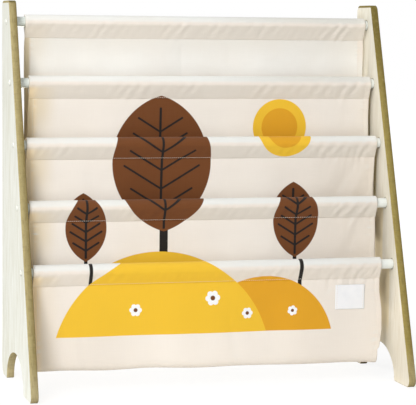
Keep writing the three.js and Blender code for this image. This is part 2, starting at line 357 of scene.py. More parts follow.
class Finish:
    """A material under construction, with its Principled shader. Colours are the 0 to 255
    values that a screen shows, or the outputs of nodes."""

    def __init__(self, name, **values):
        self.material = bpy.data.materials.new(name)
        self.material.use_nodes = True
        self.tree = self.material.node_tree
        self.shader = self.tree.nodes["Principled BSDF"]
        for socket, value in values.items():
            self.shader.inputs[socket.replace("_", " ")].default_value = value

    def node(self, kind, **values):
        made = self.tree.nodes.new(kind)
        for name, value in values.items():
            setattr(made, name, value)
        return made

    def link(self, output, target):
        self.tree.links.new(output, target)

    def parts(self, output):
        """A vector's three parts."""
        split = self.node("ShaderNodeSeparateXYZ")
        self.link(output, split.inputs[0])
        return [Number(self.tree, part) for part in split.outputs]

    def attribute(self, name):
        """The parts of a vector stored on the mesh's points."""
        node = self.node("ShaderNodeAttribute", attribute_name=name)
        return self.parts(node.outputs["Vector"])

    def facing(self):
        """The parts of the direction that a face looks in."""
        return self.parts(self.node("ShaderNodeNewGeometry").outputs["True Normal"])

    def position(self, scale=(1, 1, 1)):
        """The place on the object in metres, stretched by scale."""
        place = self.node("ShaderNodeTexCoord").outputs["Object"]
        mapping = self.node("ShaderNodeMapping")
        self.link(place, mapping.inputs["Vector"])
        mapping.inputs["Scale"].default_value = scale
        return mapping.outputs["Vector"]

    def joined(self, x, y):
        """A flat place, from its two numbers."""
        node = self.node("ShaderNodeCombineXYZ")
        x.plug(node.inputs[0])
        y.plug(node.inputs[1])
        return node.outputs[0]

    def noise(self, place, scale, detail, roughness=0.5):
        node = self.node("ShaderNodeTexNoise")
        self.link(place, node.inputs["Vector"])
        node.inputs["Scale"].default_value = scale
        node.inputs["Detail"].default_value = detail
        node.inputs["Roughness"].default_value = roughness
        return Number(self.tree, node.outputs["Fac"])

    def mix(self, factor, first, second):
        """A colour between two."""
        node = self.node("ShaderNodeMix", data_type="RGBA")
        factor.plug(node.inputs[0])
        for socket, item in ((node.inputs[6], first), (node.inputs[7], second)):
            if isinstance(item, bpy.types.NodeSocket):
                self.link(item, socket)
            else:
                socket.default_value = srgb(*item)
        return node.outputs[2]

    def painted(self, colour, *coats):
        """A colour with others over it in turn. Each coat has how much and which colour."""
        for amount, coat in coats:
            colour = self.mix(amount, colour, coat)
        return colour

    def bump(self, height, distance, strength):
        node = self.node("ShaderNodeBump")
        node.inputs["Distance"].default_value = distance
        node.inputs["Strength"].default_value = strength
        height.plug(node.inputs["Height"])
        self.link(node.outputs[0], self.shader.inputs["Normal"])

    def colour(self, output):
        self.link(output, self.shader.inputs["Base Color"])

    def rough(self, number):
        number.plug(self.shader.inputs["Roughness"])


# Picture printed on the cloth: hills, trees and a sun, in millimetres across and up

INK_YELLOW = (241, 194, 55)
INK_AMBER = (226, 164, 40)
INK_BROWN = (112, 66, 34)
INK_BLACK = (32, 29, 28)
INK_WHITE = (247, 248, 250)
EDGE = 0.35
SUN_MIDDLE = (132, 408)
SUN_DISCS = ((46, INK_YELLOW), (31, INK_AMBER))
TREES = (
    # foot across, foot up, height, bulge, trunk
    (-70, 246, 214, 80, 60),
    (150, 200, 120, 38, 46),
    (-196, 200, 106, 33, 46),
)
TRUNK_WIDTH = 0.17
TRUNK_TOP = 8
VEIN = 4.0
SIDE_VEIN = VEIN * 0.8
VEIN_PAIRS = 5
VEIN_REACH = 0.92
VEIN_RISE = 0.62
FIRST_VEIN = 0.72
LEAF_MARGIN = 4
HILL_FOOT = 86
HILLS = (
    # middle, half width, top, ink
    (92, 112, 176, INK_AMBER),
    (-78, 172, 214, INK_YELLOW),
)
# Each flower's middle and size. The others are shares of its size.
FLOWERS = (((4, 142), 12), ((-122, 126), 10), ((62, 116), 9), ((138, 118), 8))
PETAL_PLACE = 0.62
PETAL_RADIUS = 0.4
FLOWER_EYE = 0.32


def inside(distance):
    """1 inside a shape and 0 outside, from a distance that is positive inside."""
    return (distance / (2 * EDGE) + 0.5).between(0, 1)


def disc(x, z, middle, radius):
    return radius - length_of(x - middle[0], z - middle[1])


def leaf(x, z, foot, height, bulge):
    """A pointed oval that stands on foot: where two discs overlap."""
    half = height / 2
    radius = (half * half + bulge * bulge) / (2 * bulge)
    across = (x - foot[0]).size() + (radius - bulge)
    return radius - length_of(across, z - (foot[1] + half))


def stroke(x, z, start, end, width):
    """A line with round ends."""
    dx, dz = end[0] - start[0], end[1] - start[1]
    px, pz = x - start[0], z - start[1]
    along = ((px * dx + pz * dz) / (dx * dx + dz * dz)).between(0, 1)
    return width / 2 - length_of(px - along * dx, pz - along * dz)


def mound(x, z, middle, half_width, top):
    """A hill with a round back and a level foot."""
    rise = top - HILL_FOOT
    radius = (half_width ** 2 + rise ** 2) / (2 * rise)
    return disc(x, z, (middle, top - radius), radius).least(z - HILL_FOOT)


def veins(x, z, foot, height, reach):
    """A leaf's middle vein with pairs of side veins that rise outwards."""
    across = (x - foot[0]).size()
    line = stroke(across, z, (0, foot[1] - 1), (0, foot[1] + height * 0.9), VEIN)
    for i in range(VEIN_PAIRS):
        share = (i + 0.6) / VEIN_PAIRS
        root = foot[1] + height * (0.08 + 0.7 * share)
        far = reach * (1 - 0.55 * share) * (FIRST_VEIN if i == 0 else 1)
        tip = (far, root + far * VEIN_RISE)
        line = line.most(stroke(across, z, (0, root), tip, SIDE_VEIN))
    return line


def picture(finish, cloth_colour):
    """The cloth's colour with the printed picture over it."""
    x, z, printed = finish.attribute("picture")
    x = x * PER_METRE
    z = z * PER_METRE
    shapes = [(disc(x, z, SUN_MIDDLE, radius), ink) for radius, ink in SUN_DISCS]
    for across, up, height, bulge, trunk in TREES:
        foot, trunk_top = (across, up), (across, up + TRUNK_TOP)
        stem = stroke(x, z, (across, up - trunk), trunk_top, bulge * TRUNK_WIDTH)
        crown = leaf(x, z, foot, height, bulge)
        lines = veins(x, z, foot, height, bulge * VEIN_REACH).least(crown - LEAF_MARGIN)
        shapes += [(stem, INK_BLACK), (crown, INK_BROWN), (lines, INK_BLACK)]
    shapes += [(mound(x, z, *sizes), ink) for *sizes, ink in HILLS]
    for middle, size in FLOWERS:
        out = size * PETAL_PLACE
        for angle in range(0, 360, 60):
            turn = math.radians(angle + middle[0])
            place = (middle[0] + out * math.cos(turn), middle[1] + out * math.sin(turn))
            shapes.append((disc(x, z, place, size * PETAL_RADIUS), INK_WHITE))
        shapes.append((disc(x, z, middle, size * FLOWER_EYE), INK_BROWN))
    return finish.painted(cloth_colour, *[(inside(shape) * printed, ink) for shape, ink in shapes])


# Materials

THREAD_PITCH = 0.0009
BOARD_MIDDLE = 0.305


def canvas_finish():
    """Cream canvas with its picture, and light and shade painted into its colour. The numbers in
    ramps are heights, places across and shares of a row where one tone gives way to another."""
    finish = Finish("printed_canvas", Roughness=0.92, Sheen_Weight=0.08, Sheen_Roughness=0.5,
                    Specular_IOR_Level=0.2)
    across, along, layers = finish.attribute("weave")
    height = finish.attribute("picture")[1]
    up = finish.facing()[2]
    slub_across = finish.noise(finish.joined(across * 30, along * 900), 1.0, 3.0)
    slub_along = finish.noise(finish.joined(across * 900, along * 30), 1.0, 3.0)
    slubs = slub_across + slub_along
    thread = 2 * math.pi / THREAD_PITCH
    weave = (across * thread).sine() * (along * thread).sine()
    cloud = finish.noise(finish.joined(across, along), 9.0, 3.0)

    # 0 at the middle of each rod and 1 at the next one down
    share = ((RODS[0][1] * MM - height) / (ROD_PITCH * MM)).apply("FRACT")
    # Painted light low in each row, above the next sleeve
    lit_low_end = share.ramp(0.4, 0.88) * share.ramp(0.985, 0.93) * height.ramp(0.186, 0.2)
    sleeve_front = (share.ramp(0.9, 0.95) + share.ramp(0.1, 0.02)) * height.ramp(0.15, 0.17)
    # Painted light at the middle of the lowest pocket's bottom
    lit_low_middle = height.ramp(0.14, 0.07) * across.size().ramp(0.2, 0.06)
    # Painted shade on the right of the middle rows
    shaded_right = across.ramp(0.08, 0.26) * height.ramp(0.44, 0.36) * height.ramp(0.18, 0.21)
    # Painted shade on down-facing cloth, weaker on the lowest sleeve
    shaded_underside = up.ramp(-0.05, -0.4) * height.ramp(0.05, 0.08)
    shaded_underside = shaded_underside * (0.6 + 0.4 * height.ramp(0.2, 0.23))
    upright = up.ramp(0.35, 0.05) * (1 - 0.9 * sleeve_front)
    # Painted shade on upright cloth near the left board, weaker on the top row and low in each row
    shaded_left_side = across.ramp(-0.235, -0.272) * (1 - 0.65 * height.ramp(0.47, 0.5)) * upright
    shaded_left_side = shaded_left_side * (1 - 0.6 * lit_low_end) * (1 - 0.6 * height.ramp(0.19, 0.16))
    # Painted shade in tan along the left rim of the rows below the top one
    shaded_left_rim = across.ramp(-0.268, -0.285) * height.ramp(0.5, 0.47) * upright

    # Painted light: the top row's single cloth, lighter towards its lower end
    single_lit_lower = finish.mix(height.ramp(0.565, 0.495), (234, 230, 222), (250, 248, 243))
    lit = finish.mix(height.ramp(0.48, 0.5), (253, 246, 237), (253, 251, 246))
    # Painted highlight on up-facing cloth, cooler and greyer, with painted shade on it towards the
    # right of the upper rows
    shaded_top_right = across.ramp(-0.05, 0.2) * height.ramp(0.4, 0.5)
    up_facing_light = finish.mix(shaded_top_right, (235, 235, 231), (225, 223, 216))
    cloth = finish.painted(
        single_lit_lower,
        # Painted light and shade: cloth with more layers behind it is painted darker and pinker
        (layers.between(0, 1), (239, 230, 220)),
        (lit_low_end * 0.9, lit),
        (lit_low_middle * 0.5, (252, 245, 236)),
        (shaded_right * 0.75, (229, 219, 207)),
        (up.ramp(0.0, 0.45), up_facing_light),
        (shaded_underside, (228, 220, 209)),
        (shaded_left_side * 0.85, (227, 212, 184)),
        (shaded_left_rim * 0.75, (243, 216, 164)),
        # Painted shade in tan on the turned left edges, which have the most layers
        ((layers - 1).between(0, 1), (224, 210, 182)),
        (cloud.ramp(0.3, 0.75) * 0.25, (236, 226, 213)),
    )
    slub_tone = (slubs.ramp(0.75, 1.25) * 0.025, (150, 128, 100))
    finish.colour(finish.painted(picture(finish, cloth), slub_tone))
    finish.bump(weave * 0.5 + slubs, 0.0002, 0.5)
    return finish.material


def thread_finish():
    finish = Finish("sewing_thread", Roughness=0.7, Sheen_Weight=0.1)
    twist = finish.noise(finish.position(), 2500, 1.0)
    finish.colour(finish.mix(twist.ramp(0.3, 0.7), (224, 214, 200), (238, 230, 218)))
    finish.bump(twist, 0.0001, 0.5)
    return finish.material


def label_finish():
    finish = Finish("woven_tape", Roughness=0.6, Sheen_Weight=0.1)
    ribs = finish.noise(finish.position((80, 80, 2600)), 1.0, 2.0)
    soil = finish.noise(finish.position(), 60, 2.0)
    finish.colour(finish.mix(soil.ramp(0.35, 0.8) * 0.6, (244, 244, 246), (235, 236, 240)))
    finish.bump(ribs, 0.0002, 0.6)
    return finish.material


def shaded_by_rows(finish, inner, y, z):
    """The inner face's colour, with shade behind each row's cloth and round each rod's end."""
    top_y, top_z = RODS[0][0] * MM, RODS[0][1] * MM
    pitch, row_step = ROD_PITCH * MM, (RODS[0][0] - RODS[1][0]) * MM
    down = (top_z - z) / pitch
    row_above = down.apply("FLOOR").between(0, LAST_ROW)
    behind_cloth = (y - top_y + row_above * row_step) * PER_METRE
    behind_rods = (y - top_y + down * row_step) * PER_METRE
    near_cloth = behind_cloth.ramp(5, 13) * (behind_rods - z.ramp(0.36, 0.26) * 40).ramp(90, 55)
    shaded = near_cloth * z.ramp(0.06, 0.1) * z.ramp(0.606, 0.58)
    shade = finish.painted((236, 219, 178), (z.ramp(0.26, 0.3), (194, 176, 112)),
                           (z.ramp(0.46, 0.495), (190, 182, 162)))
    nearest = (down + 0.5).apply("FLOOR").between(0, LAST_ROW)
    from_rod = length_of(y - (top_y - nearest * row_step), z - (top_z - nearest * pitch))
    ring = (from_rod * PER_METRE).ramp(10.2, 8.4)
    return finish.painted(inner, (shaded * 0.7, shade), (ring * 0.7, (128, 118, 88)))


def raw_wood(finish, is_right, through, y, z, up, fibres):
    """The bare edges' colour, with painted light and shade: shade across each edge towards its
    right side, light near the floor and in the left board's arch, shade on the right board's
    back heel and on the up-facing top edges. The right board's edges are darker, and darker
    towards the top. through runs across the board's thickness in millimetres.
    """
    # Painted light and shade across each edge, darker towards its right side
    lit_raw = finish.mix(is_right, (184, 169, 122), (166, 148, 84))
    shaded_raw = finish.mix(is_right, (132, 117, 74), (114, 100, 48))
    # Painted shade on the up-facing top edges
    shaded_top_cap = finish.mix(is_right, (103, 92, 49), (131, 117, 62))
    # Painted light inside the left board's arch
    lit_left_arch = (1 - is_right) * y.ramp(-0.08, -0.05) * z.ramp(0.08, 0.03)
    # Painted shade on the right board's back heel, under the cloth
    shaded_right_heel = is_right * y.ramp(0.03, 0.05) * z.ramp(0.07, 0.05)
    rings = finish.noise(finish.position((40, 60, 420)), 1.0, 4.0, 0.6)
    speckle = finish.noise(finish.position((180, 160, 160)), 1.0, 4.0, 0.62)
    return finish.painted(
        lit_raw,
        ((through - is_right * 3).ramp(-7, 6.5), shaded_raw),
        (is_right * z.ramp(0.42, 0.58) * 0.8, (114, 100, 46)),
        # Painted light near the floor
        (z.ramp(0.07, 0.015) * 0.45, (188, 176, 142)),
        (lit_left_arch * 0.2, (214, 202, 164)),
        (shaded_right_heel * 0.8, (84, 72, 44)),
        (up.ramp(0.5, 0.9) * 0.95, shaded_top_cap),
        (fibres.ramp(0.42, 0.7) * 0.35, (104, 91, 56)),
        (rings.ramp(0.5, 0.72) * 0.3, (112, 98, 62)),
        (speckle.ramp(0.45, 0.75) * 0.22, (186, 172, 126)),
    )


def side_wood_finish():
    """Whitewashed board faces with grain along the board, and raw edges, both with light and
    shade painted into their colour.
    """
    finish = Finish("whitewashed_board", Roughness=0.7, Specular_IOR_Level=0.1)
    facing, _, up = finish.facing()
    x, y, z = finish.parts(finish.position())
    side = x.apply("SIGN")
    is_right = side * 0.5 + 0.5
    through = (x - side * BOARD_MIDDLE) * PER_METRE
    face = facing.size().ramp(0.75, 0.9) * z.ramp(0.6072, 0.6056)
    inward = (facing * side).ramp(0.5, -0.5)
    warp = finish.noise(finish.position((1, 6, 1)), 5.0, 2.0)
    grain = finish.noise(finish.position((1, 30, 1.4)), 14.0, 6.0, 0.62)
    fine = finish.noise(finish.position((1, 420, 6)), 3.0, 3.0, 0.6)
    fibres = finish.noise(finish.position((420, 70, 70)), 1.0, 5.0, 0.65)
    streaks = grain * 0.65 + fine * 0.35 + warp * 0.2
    thin = streaks.ramp(0.53, 0.7)

    # Painted shade: the outer faces darker towards the top
    outer = finish.painted((247, 247, 239), (thin, (229, 227, 212)),
                           (z.ramp(0.15, 0.65) * 0.5, (222, 221, 209)))
    # Painted shade on the inner faces: darker over the middle height, towards the top and near the
    # floor
    inner = finish.painted(
        (246, 241, 229),
        (thin, (226, 217, 196)),
        (z.ramp(0.1, 0.25) * z.ramp(0.62, 0.5) * 0.5, (204, 198, 182)),
        (z.ramp(0.48, 0.6) * 0.5, (208, 206, 194)),
        (z.ramp(0.14, 0.05) * 0.6, (218, 211, 195)),
    )
    paint = finish.mix(inward, outer, shaded_by_rows(finish, inner, y, z))
    finish.colour(finish.mix(face, raw_wood(finish, is_right, through, y, z, up, fibres), paint))
    finish.bump(streaks + fibres * 0.3, 0.0004, 0.5)
    finish.rough(0.78 - face * 0.12 + fine * 0.08)
    return finish.material


def rod_finish():
    finish = Finish("white_satin_paint", Roughness=0.32, Coat_Weight=0.15, Coat_Roughness=0.2)
    brush = finish.noise(finish.position((3, 260, 260)), 1.0, 3.0)
    # Painted shade on the rods' left ends, next to the left board
    shaded_left_end = finish.parts(finish.position())[0].ramp(-0.27, -0.288)
    finish.colour(finish.painted((236, 240, 237), (brush.ramp(0.35, 0.7) * 0.5, (224, 228, 223)),
                                 (shaded_left_end * 0.7, (204, 212, 205))))
    finish.bump(brush, 0.0002, 0.3)
    finish.rough(0.26 + brush * 0.16)
    return finish.material


def bolt_finish():
    finish = Finish("white_painted_steel", Roughness=0.4, Coat_Weight=0.2, Coat_Roughness=0.25)
    chips = finish.noise(finish.position(), 900, 3.0)
    finish.colour(finish.mix(chips.ramp(0.62, 0.72), (228, 228, 220), (186, 186, 178)))
    finish.rough(0.34 + chips * 0.2)
    finish.bump(chips, 0.0001, 0.3)
    return finish.material


def insert_finish():
    finish = Finish("zinc_plate", Metallic=1.0, Roughness=0.4)
    cast = finish.noise(finish.position(), 600, 3.0)
    finish.colour(finish.mix(cast.ramp(0.3, 0.7), (178, 176, 168), (212, 210, 202)))
    finish.rough(0.3 + cast * 0.25)
    return finish.material


# Meshes

def new_piece(name, points, faces, slot, material, attributes=None):
    """A smooth mesh that rides on the root. Points are in millimetres."""
    mesh = bpy.data.meshes.new(name)
    mesh.from_pydata((np.asarray(points) * MM).tolist(), [], faces)
    mesh.materials.append(material)
    for key, values in (attributes or {}).items():
        stored = mesh.attributes.new(key, "FLOAT_VECTOR", "POINT")
        stored.data.foreach_set("vector", np.asarray(values, np.float32).ravel())
    mesh.polygons.foreach_set("use_smooth", [True] * len(mesh.polygons))
    mesh.update()
    piece = add_object(name, mesh)
    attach(piece, "root")
    return piece


def ramp(value, start, end):
    share = np.clip((np.asarray(value, float) - start) / (end - start), 0, 1)
    return share * share * (3 - 2 * share)


def bell(distance, width):
    """1 at no distance, falling off to both sides."""
    return np.exp(-((distance / width) ** 2))


def waves(field, row, across, along, lean=0.0, spread=0.3, count=7):
    """A smooth field of about -1 to 1: waves across, each drifting a little along."""
    seed, shortest, longest = field
    random = np.random.default_rng(seed + row)
    total = 0
    for _ in range(count):
        pitch = random.uniform(shortest, longest)
        slant = lean + random.uniform(-spread, spread)
        phase = random.uniform(0, 2 * math.pi)
        total = total + np.sin(2 * math.pi * (across + slant * along) / pitch + phase)
    return total / math.sqrt(count)


def fold_push(row, x, drop):
    """The main folds, as in the CAD source, where drop is under the rod's stitches."""
    start = FOLD_STARTS[row] * 2 * math.pi
    narrow = np.sin(2 * math.pi * x / FOLD_PITCH + start)
    wide = np.sin(2 * math.pi * x / WIDE_FOLD_PITCH + 2 * start)
    rise = np.clip((drop + STITCH_DROP - CAD_SEAM_DROP) / FOLD_RISE, 0, 1)
    return FOLD_DEPTH * rise * ((1 - WIDE_FOLD_SHARE) * narrow + WIDE_FOLD_SHARE * wide)


def edge_room(row, x):
    """How far a place lies in from the left and the right edge of a row's cloth."""
    return np.maximum(x - LEFT_EDGES[row], 0), np.maximum(RIGHT_EDGES[row] - x, 0)


def seam_wrinkles(row, x, height):
    """Slanting wrinkles that the seam pulls into the cloth above and below it, and gathers
    near its right end."""
    from_left, from_right = edge_room(row, x)
    below = np.minimum(height, 0)
    pull = EVEN_PULL + SEAM_PULLS[row] * np.exp(-from_right / RIGHT_REACH)
    pull = pull + LEFT_PULL * np.exp(-from_left / LEFT_REACH)
    cluster = 1 + CLUSTER_SHARE * np.tanh(waves(CLUSTERS, row, x, 0 * x))
    fade = np.where(height >= 0, ramp(height, *WRINKLES_ABOVE), np.exp(below / WRINKLES_BELOW))
    held = 1 - SEAM_HOLD * bell(height, SEAM_WIDTH)
    field = waves(WRINKLES, row, x, height, lean=-0.6, spread=0.25, count=9)
    slants = pull * cluster * fade * held * WRINKLE_LIMIT * np.tanh(field / WRINKLE_LIMIT)
    gathers = waves(GATHERS, row, x, height, lean=-0.2, spread=0.1, count=4)
    under_lip = np.exp((below + LIPS[row]) / GATHERS_BELOW)
    near_seam = np.where(height >= -LIPS[row], ramp(height, *GATHERS_ABOVE), under_lip)
    gathered = GATHER_DEPTHS[row] * near_seam * bell(from_right - GATHERS_INSET, GATHERS_REACH)
    return slants + gathered * gathers


def crease_relief(row, x, drop):
    """How far back the creases in a row's cloth put it."""
    total = 0 * x + 0 * drop
    for crease_row, place, start, end, lean, width, depth in CREASES:
        if crease_row == row:
            length = end - start
            shape = bell(x - place - lean * (drop - start), width)
            begun = ramp(drop, start - CREASE_BEYOND[0], start + CREASE_FADES[0] * length)
            left = ramp(drop, end + CREASE_BEYOND[1], end - CREASE_FADES[1] * length)
            total = total + depth * shape * (begun * left)
    return total


def panel_relief(row, x, drop):
    """How far back a row's cloth lies at a place across and a drop below its stitches."""
    soft = waves(SOFT_FOLDS, row, x, drop, spread=0.12)
    broad = waves(BROAD_FOLDS, row, x, drop)
    edge_curl = waves(EDGE_CURLS, row, drop, x * 0)
    from_left, from_right = edge_room(row, x)
    near_edge = np.exp(-np.minimum(from_left, from_right) / CURL_REACH)
    turned = np.maximum(TURNED_WIDTH - from_left, 0) * ramp(drop, *TURNED_GROWS)
    return (fold_push(row, x, drop) + seam_wrinkles(row, x, -drop) + crease_relief(row, x, drop)
            + ramp(drop, *FOLDS_GROW) * (SOFT_DEPTH * soft + BROAD_DEPTH * broad)
            + CURL_DEPTH * near_edge * ramp(drop, *CURLS_GROW) * edge_curl
            + TURNED_SLOPE * turned)


def columns():
    """Places across the cloth from its middle, closer together in the hems."""
    half = CLOTH_WIDTH / 2
    fine = HEM_WIDTH + 2
    hem = np.linspace(0, fine, round(fine / FINE_STEP) + 1)[:-1]
    inner = half - fine
    middle = np.linspace(-inner, inner, round(2 * inner / STEP) + 1)
    return np.concatenate([hem - half, middle, (half - hem)[::-1]])


ACROSS = columns()
FROM_EDGE = CLOTH_WIDTH / 2 - np.abs(ACROSS)
HEM_SHARE = ramp(FROM_EDGE, HEM_WIDTH + HEM_BLEND, HEM_WIDTH - HEM_BLEND)


def tangent_angle(y, z, side):
    """Where a straight run of cloth from a point meets the round part of a sleeve."""
    spread = math.acos(SLEEVE_RADIUS / math.hypot(y, z))
    return math.atan2(z, y) + side * spread


def back_run():
    """Points up a sleeve's back from its stitches to its round part, bulging a little, and
    the angle at which they meet it."""
    angle = tangent_angle(*BACK_SEAM, 1)
    outward = np.array([math.cos(angle), math.sin(angle)])
    end = SLEEVE_RADIUS * outward
    shares = np.linspace(0, 1, BACK_STEPS + 1)[:, None]
    bulge = BACK_BULGE * np.sin(math.pi * shares) * outward
    return np.array(BACK_SEAM) + shares * (end - BACK_SEAM) + bulge, angle


def sleeve_outline(lip, hollow):
    """A sleeve's section, from its lip's edge up the front, over the rod and down to the
    stitches behind. Each point has its offset from the rod in y and z, half the cloth's
    thickness outside and inside, and how much wrinkles move it."""
    low = -STITCH_DROP - lip
    stitches = low + STITCH_INSET
    front_angle = tangent_angle(-LIP_FRONT, low, -1)
    touch_y = SLEEVE_RADIUS * math.cos(front_angle)
    touch_z = SLEEVE_RADIUS * math.sin(front_angle)
    points = []
    for share in LIP_SHARES:
        half = LIP_HALF * math.sqrt(1 - (1 - share) ** 2) + LIP_EDGE
        points.append((-LIP_FRONT, low + LIP_HALF * share, half, half, 1))
    steps = round((touch_z - low) / FRONT_STEP)
    for z in (low + LIP_HALF, stitches, *np.linspace(stitches, touch_z, steps)[1:]):
        share = (z - low) / (touch_z - low)
        y = -LIP_FRONT + share * (touch_y + LIP_FRONT) + hollow * math.sin(math.pi * share)
        sunk = STITCH_GROOVE if z == stitches else 0
        out = np.interp(z - low, (0, OUT_RISE), (LIP_HALF, SLEEVE_OUT)) - sunk
        inner = np.interp(z - low, (0, lip, lip + IN_RISE), (LIP_HALF, LIP_IN, SLEEVE_IN))
        points.append((y, z, out, inner, 1))
    back, back_angle = back_run()
    for angle in np.linspace(2 * math.pi + front_angle, back_angle, ROUND_STEPS)[1:-1]:
        y, z = SLEEVE_RADIUS * math.cos(angle), SLEEVE_RADIUS * math.sin(angle)
        points.append((y, z, SLEEVE_OUT, SLEEVE_IN, math.cos(angle) ** 2))
    for y, z in back[::-1]:
        height = z + STITCH_DROP
        thinned = math.exp(-height / CREASE_OUT_RISE)
        out = SLEEVE_OUT - (SLEEVE_OUT - CREASE_HALF) * thinned
        inner = np.interp(height, (0, CREASE_IN_RISE), (CREASE_IN, SLEEVE_IN))
        points.append((y, z, out, inner, 1))
    return points


# What a row of points has where its maker gives nothing else. near is half the thickness on
# the pocket's side of the cloth and far on the other side. A row of stitches is on one side.
SIDES = ("near", "far")
PLAIN_ROW = {"near": CLOTH / 2, "far": CLOTH / 2, "hem_near": 0, "hem_far": 0,
             "print_near": 0, "print_far": 0, "loose": True, "stitched": ""}


class Strip:
    """The middle surface of a strip of cloth, built row by row along its length."""

    def __init__(self):
        self.rows = []

    def add(self, x, y, z, layers=1.0, **others):
        points = {"x": x, "y": y, "z": z, "layers": layers}
        points = {key: values + 0 * ACROSS for key, values in points.items()}
        self.rows.append(PLAIN_ROW | points | others)

    def table(self, key):
        return np.array([row[key] for row in self.rows])

    def grid(self):
        return np.stack([self.table(key).T for key in "xyz"], 2)


def across_row(row):
    """The places across of a row's cloth."""
    left, right = LEFT_EDGES[row], RIGHT_EDGES[row]
    return (left + right) / 2 + ACROSS * (right - left) / CLOTH_WIDTH


def add_sleeve(strip, row, reverse):
    """Adds the sleeve on a rod. Its path runs from the lip to the stitches behind, or back."""
    y, z = RODS[row]
    x = across_row(row)
    outer, inner_side = SIDES if reverse else SIDES[::-1]
    outline = sleeve_outline(LIPS[row], HOLLOWS[row])
    order = range(len(outline))
    top = max(order, key=lambda i: outline[i][1])
    for i in reversed(order) if reverse else order:
        dy, dz, out, inner, moved = outline[i]
        height = dz + STITCH_DROP
        if i <= top:
            push = moved * seam_wrinkles(row, x, height + 0 * x)
            if height < 0:
                push = push + crease_relief(row, x, -height)
        else:
            wave = waves(SLEEVE_BACKS, row, x, height, lean=-0.3)
            push = moved * math.exp(-height / SEAM_REACH) * seam_wrinkles(row, x, 0 * x)
            grown = SLEEVE_BACK_DEPTH * ramp(height, *SLEEVE_BACK_GROWS)
            push = push + grown * moved * wave
        behind = i > top and dy > PRINT_BEHIND * SLEEVE_RADIUS or i > top + PRINT_POINTS
        at_stitches = math.isclose(height, STITCH_INSET - LIPS[row])
        sides = {outer: out, inner_side: inner, "hem_" + inner_side: SLEEVE_HEM_EXTRA,
                 "print_" + outer: i > 1 and not behind}
        strip.add(x, y + dy + push, z + dz, loose=False,
                  stitched=outer if at_stitches else "", **sides)


def pocket_curve(steps, power):
    """Evenly spaced points along a pocket's bottom: 1 to -1 from back to front, and how far
    down. A power below 1 makes the bottom squarer."""
    angles = np.linspace(0, math.pi, CURVE_SAMPLES)
    across = np.sign(np.cos(angles)) * np.abs(np.cos(angles)) ** power
    down = np.abs(np.sin(angles)) ** power
    lengths = np.hypot(np.diff(across) * POCKET_ASPECT, np.diff(down))
    run = np.concatenate([[0], np.cumsum(lengths)])
    even = np.linspace(0, run[-1], steps + 1)
    return np.stack([np.interp(even, run, across), np.interp(even, run, down)], 1)


def add_rear_edge(strip, row):
    """Adds the end of a front panel, which is sewn behind the next row's sleeve."""
    y, z = RODS[row]
    x = across_row(row)
    back, angle = back_run()
    push = seam_wrinkles(row, x, 0 * x)
    for height in REAR_HEIGHTS:
        behind = np.interp(height, back[:, 1] + STITCH_DROP, back[:, 0])
        outward = REAR_GAP + REAR_WIDENING * min(height / REAR_HEIGHTS[1], 1)
        strip.add(x, y + behind + outward * math.cos(angle) + push,
                  z - STITCH_DROP + height + outward * math.sin(angle) + REAR_RISE,
                  hem_near=HEM_EXTRA, loose=False)


